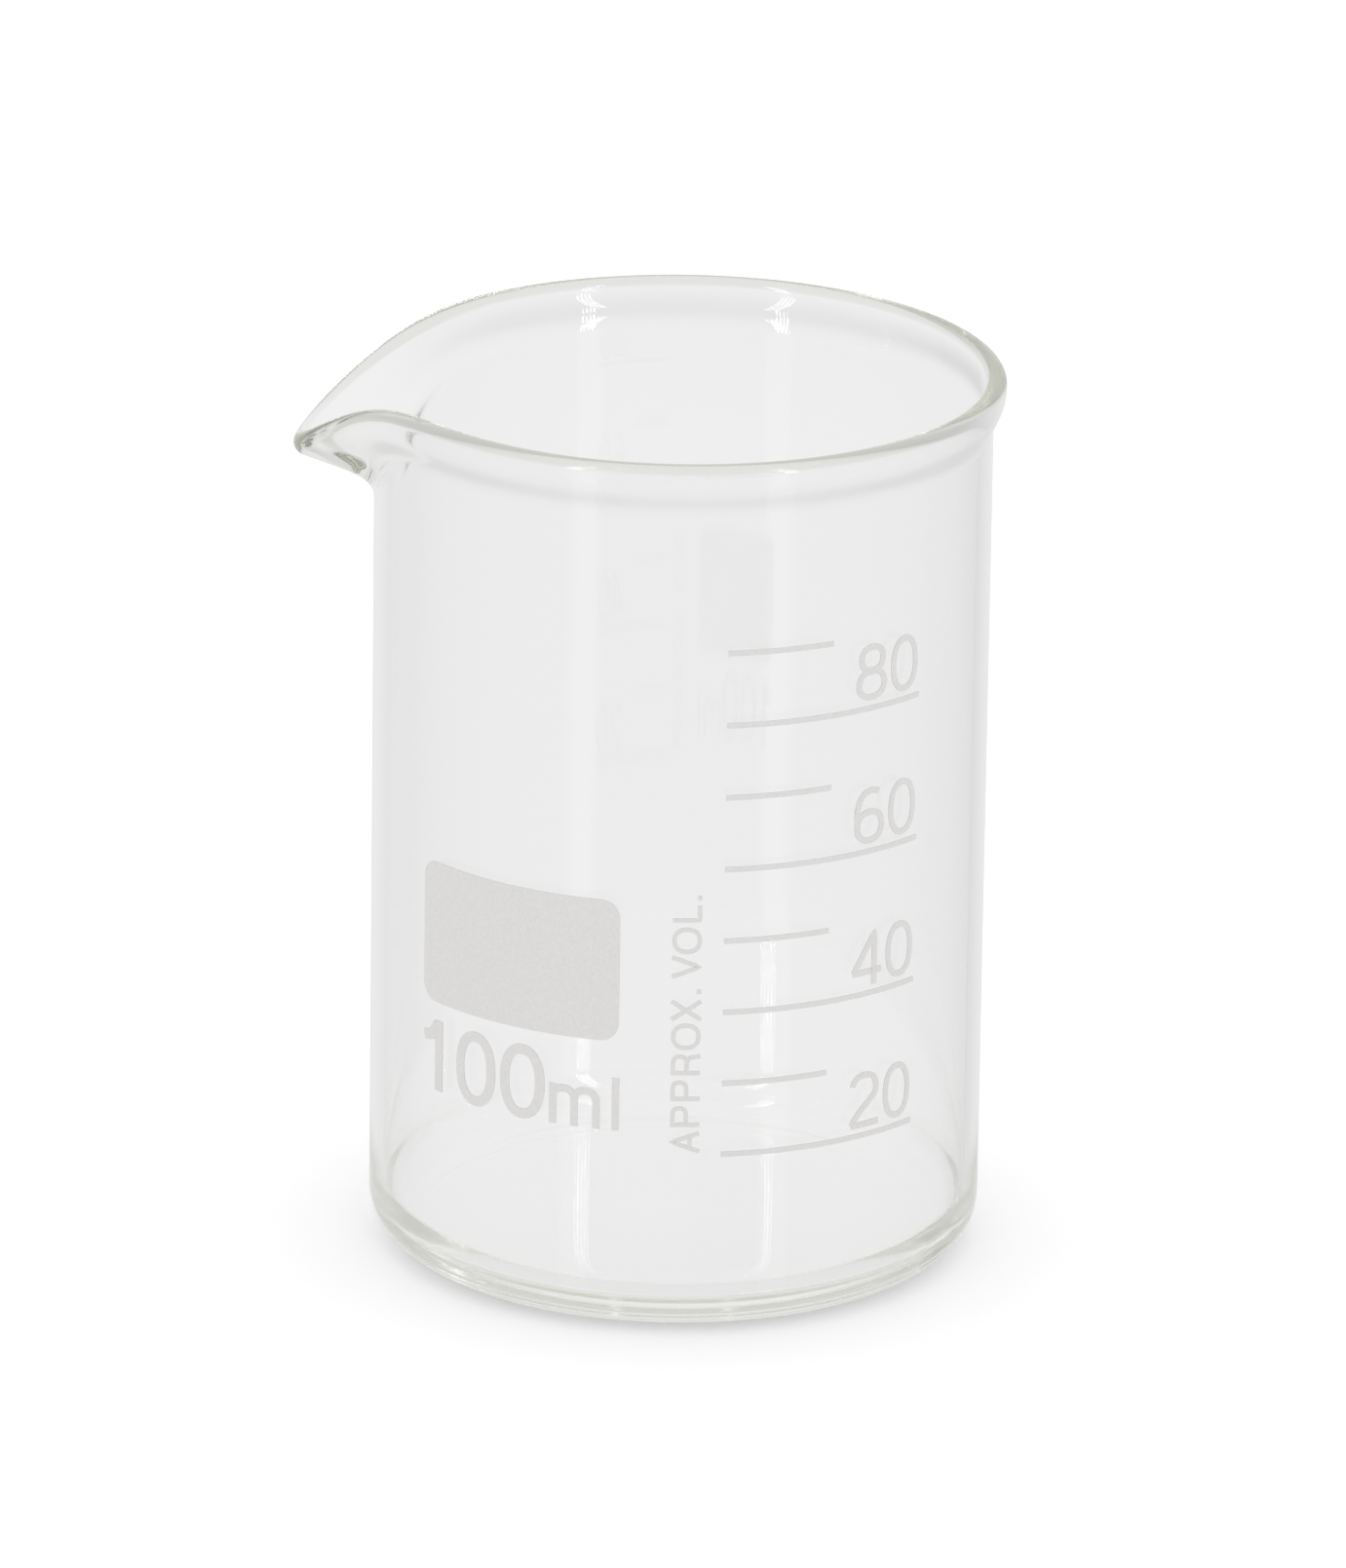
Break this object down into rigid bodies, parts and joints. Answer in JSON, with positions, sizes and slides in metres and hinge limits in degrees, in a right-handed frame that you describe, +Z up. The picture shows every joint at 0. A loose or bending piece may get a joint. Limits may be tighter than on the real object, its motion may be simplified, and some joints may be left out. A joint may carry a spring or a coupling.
{
  "type": "low form beaker",
  "caption": "Clear glass low form beaker with a flat base, a beaded rim, a drawn pouring spout and a printed volume scale.",
  "frame": {"origin": "middle of the flat underside, on the axis of the round wall", "axes": "+Z up the wall's axis; the spout points along -X; the scale and the writing panel are on the -Y side"},
  "size_m": [0.0563, 0.0506, 0.072],
  "materials": {
    "glass": "clear borosilicate glass, fire polished",
    "enamel": "white fired-on enamel, satin"
  },
  "bodies": {
    "root": {"beaker": "glass", "graduation_marks": "enamel", "writing_panel": "enamel"}
  },
  "joints": []
}
